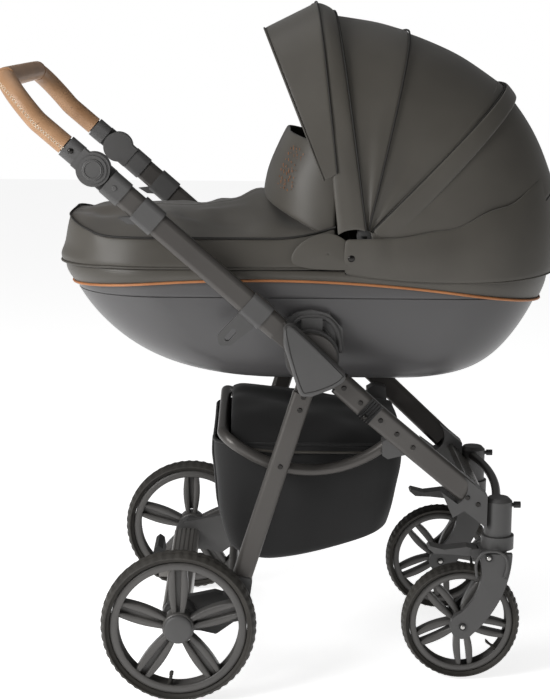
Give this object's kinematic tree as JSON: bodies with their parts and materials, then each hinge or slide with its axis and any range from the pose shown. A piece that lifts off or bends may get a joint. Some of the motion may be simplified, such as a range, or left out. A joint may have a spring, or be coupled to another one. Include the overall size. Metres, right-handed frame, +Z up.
{
  "type": "baby stroller",
  "caption": "Pram with a hooded carrycot on a folding four-wheel frame, leather-wrapped tilting handlebar, shopping basket, sprung rear axle and swivelling front castors.",
  "frame": {"origin": "on the floor under the middle of the stroller's bounding box", "axes": "+X the way it rolls, from the handlebar towards the castors; +Y to its left; +Z up"},
  "size_m": [0.9153, 0.628, 1.124],
  "materials": {
    "frame_metal": "satin powder coat, warm dark grey",
    "ribbed_metal": "satin ribbed extrusion",
    "joint_plastic": "fine moulded grain",
    "wheel_plastic": "satin moulded plastic",
    "black_plastic": "fine moulded grain",
    "steel": "dark zinc",
    "tyre_rubber": "matt rubber with a fine tread",
    "shell_plastic": "smooth satin shell",
    "hood_fabric": "coated woven fabric with a soft sheen",
    "basket_fabric": "coarse black weave",
    "lining_fabric": "soft knit",
    "handle_leather": "stitched tan leather"
  },
  "bodies": {
    "chassis": {"front_leg_right": "frame_metal", "front_leg_left": "frame_metal", "front_yoke_right": "joint_plastic", "front_yoke_left": "joint_plastic", "front_crossbar": "frame_metal", "front_step_bar": "ribbed_metal", "hub_plates": "joint_plastic", "hub_covers": "joint_plastic", "chassis_fasteners": "steel", "basket_hoop": "frame_metal", "hoop_sleeves": "joint_plastic", "basket_bag": "basket_fabric", "basket_lid": "basket_fabric"},
    "upper_frame": {"handle_tube_right": "frame_metal", "handle_tube_left": "frame_metal", "tilt_sleeves": "joint_plastic", "hook_collars": "joint_plastic"},
    "fold_latch_right": {"fold_latch_right": "joint_plastic"},
    "fold_latch_left": {"fold_latch_left": "joint_plastic"},
    "handlebar": {"handlebar_tube": "frame_metal", "handle_grip": "handle_leather", "tilt_arms": "joint_plastic"},
    "tilt_button_right": {"tilt_button_right": "joint_plastic"},
    "tilt_button_left": {"tilt_button_left": "joint_plastic"},
    "rear_frame": {"rear_leg_right": "frame_metal", "rear_leg_left": "frame_metal", "rear_crossbar": "frame_metal", "rear_brackets": "joint_plastic", "rear_rivets": "steel"},
    "rear_axle": {"axle_beam": "ribbed_metal", "axle_arms": "joint_plastic", "axle_rod": "steel"},
    "brake": {"brake_pedal": "black_plastic"},
    "carrycot": {"cot_shell": "shell_plastic", "cot_band": "hood_fabric", "cot_adapters": "joint_plastic", "mattress": "lining_fabric", "boot_cover": "hood_fabric", "wind_flap": "hood_fabric", "hood_pivots": "joint_plastic", "hood_rear": "hood_fabric"},
    "hood_middle": {"hood_middle": "hood_fabric"},
    "hood_front": {"hood_front": "hood_fabric", "hood_visor": "hood_fabric"},
    "rear_wheel_right": {"rear_wheel_rim_right": "wheel_plastic", "rear_wheel_tyre_right": "tyre_rubber"},
    "castor_right": {"castor_body_right": "joint_plastic"},
    "lock_lever_right": {"lock_lever_right": "joint_plastic"},
    "fork_right": {"fork_right": "joint_plastic"},
    "front_wheel_right": {"front_wheel_rim_right": "wheel_plastic", "front_wheel_tyre_right": "tyre_rubber"},
    "release_pin_right": {"release_pin_right": "black_plastic"},
    "rear_wheel_left": {"rear_wheel_rim_left": "wheel_plastic", "rear_wheel_tyre_left": "tyre_rubber"},
    "castor_left": {"castor_body_left": "joint_plastic"},
    "lock_lever_left": {"lock_lever_left": "joint_plastic"},
    "fork_left": {"fork_left": "joint_plastic"},
    "front_wheel_left": {"front_wheel_rim_left": "wheel_plastic", "front_wheel_tyre_left": "tyre_rubber"},
    "release_pin_left": {"release_pin_left": "black_plastic"}
  },
  "joints": [
    {"name": "frame_fold", "type": "hinge", "parent": "chassis", "child": "upper_frame", "pos_m": [0.049, 0, 0.563], "axis": [0, -1, 0], "range_deg": [-135, 0]},
    {"name": "rear_leg_fold", "type": "hinge", "parent": "chassis", "child": "rear_frame", "pos_m": [0.049, 0, 0.563], "axis": [0, 1, 0], "range_deg": [-28, 0]},
    {"name": "handle_tilt", "type": "hinge", "parent": "upper_frame", "child": "handlebar", "pos_m": [-0.2983, 0, 0.8638], "axis": [0, -1, 0], "range_deg": [-45, 50]},
    {"name": "rear_suspension", "type": "hinge", "parent": "rear_frame", "child": "rear_axle", "pos_m": [-0.072, 0, 0.14], "axis": [0, 1, 0], "range_deg": [0, 12], "stiffness_Nm_per_rad": 400, "springref_deg": -4.58},
    {"name": "brake_press", "type": "hinge", "parent": "rear_axle", "child": "brake", "pos_m": [-0.204, 0, 0.136], "axis": [0, -1, 0], "range_deg": [0, 20]},
    {"name": "carrycot_lift", "type": "slide", "parent": "chassis", "child": "carrycot", "axis": [0, 0, 1], "range_m": [0, 0.28]},
    {"name": "hood_middle_fold", "type": "hinge", "parent": "carrycot", "child": "hood_middle", "pos_m": [0.136, 0, 0.755], "axis": [0, 1, 0], "range_deg": [0, 24]},
    {"name": "hood_front_fold", "type": "hinge", "parent": "hood_middle", "child": "hood_front", "pos_m": [0.136, 0, 0.755], "axis": [0, 1, 0], "range_deg": [0, 24]},
    {"name": "latch_slide_right", "type": "slide", "parent": "upper_frame", "child": "fold_latch_right", "axis": [-0.7559, 0, 0.6547], "range_m": [0, 0.018], "stiffness_N_per_m": 300, "springref_m": -0.006},
    {"name": "button_press_right", "type": "slide", "parent": "handlebar", "child": "tilt_button_right", "axis": [0, 1, 0], "range_m": [0, 0.003], "stiffness_N_per_m": 800, "springref_m": -0.002},
    {"name": "rear_wheel_spin_right", "type": "hinge", "parent": "rear_axle", "child": "rear_wheel_right", "pos_m": [-0.164, -0.288, 0.1273], "axis": [0, 1, 0], "continuous": true},
    {"name": "castor_swivel_right", "type": "hinge", "parent": "chassis", "child": "castor_right", "pos_m": [0.3665, -0.178, 0.25], "axis": [0, 0, 1], "continuous": true},
    {"name": "lever_lock_right", "type": "hinge", "parent": "castor_right", "child": "lock_lever_right", "pos_m": [0.328, -0.178, 0.222], "axis": [0, 1, 0], "range_deg": [0, 25]},
    {"name": "fork_suspension_right", "type": "hinge", "parent": "castor_right", "child": "fork_right", "pos_m": [0.3486, -0.178, 0.2208], "axis": [0, 1, 0], "range_deg": [0, 12], "stiffness_Nm_per_rad": 80, "springref_deg": -4.58},
    {"name": "front_wheel_spin_right", "type": "hinge", "parent": "fork_right", "child": "front_wheel_right", "pos_m": [0.3082, -0.178, 0.1006], "axis": [0, 1, 0], "continuous": true},
    {"name": "release_pin_pull_right", "type": "slide", "parent": "chassis", "child": "release_pin_right", "axis": [1, 0, 0], "range_m": [0, 0.004], "stiffness_N_per_m": 500, "springref_m": -0.002},
    {"name": "latch_slide_left", "type": "slide", "parent": "upper_frame", "child": "fold_latch_left", "axis": [-0.7559, 0, 0.6547], "range_m": [0, 0.018], "stiffness_N_per_m": 300, "springref_m": -0.006},
    {"name": "button_press_left", "type": "slide", "parent": "handlebar", "child": "tilt_button_left", "axis": [0, -1, 0], "range_m": [0, 0.003], "stiffness_N_per_m": 800, "springref_m": -0.002},
    {"name": "rear_wheel_spin_left", "type": "hinge", "parent": "rear_axle", "child": "rear_wheel_left", "pos_m": [-0.164, 0.288, 0.1273], "axis": [0, 1, 0], "continuous": true},
    {"name": "castor_swivel_left", "type": "hinge", "parent": "chassis", "child": "castor_left", "pos_m": [0.3665, 0.178, 0.25], "axis": [0, 0, 1], "continuous": true},
    {"name": "lever_lock_left", "type": "hinge", "parent": "castor_left", "child": "lock_lever_left", "pos_m": [0.328, 0.178, 0.222], "axis": [0, 1, 0], "range_deg": [0, 25]},
    {"name": "fork_suspension_left", "type": "hinge", "parent": "castor_left", "child": "fork_left", "pos_m": [0.3486, 0.178, 0.2208], "axis": [0, 1, 0], "range_deg": [0, 12], "stiffness_Nm_per_rad": 80, "springref_deg": -4.58},
    {"name": "front_wheel_spin_left", "type": "hinge", "parent": "fork_left", "child": "front_wheel_left", "pos_m": [0.3082, 0.178, 0.1006], "axis": [0, 1, 0], "continuous": true},
    {"name": "release_pin_pull_left", "type": "slide", "parent": "chassis", "child": "release_pin_left", "axis": [1, 0, 0], "range_m": [0, 0.004], "stiffness_N_per_m": 500, "springref_m": -0.002}
  ],
  "couplings": [
    {"joint": "rear_leg_fold", "follows": "frame_fold", "ratio": 0.207},
    {"joint": "hood_front_fold", "follows": "hood_middle_fold", "ratio": 1}
  ]
}
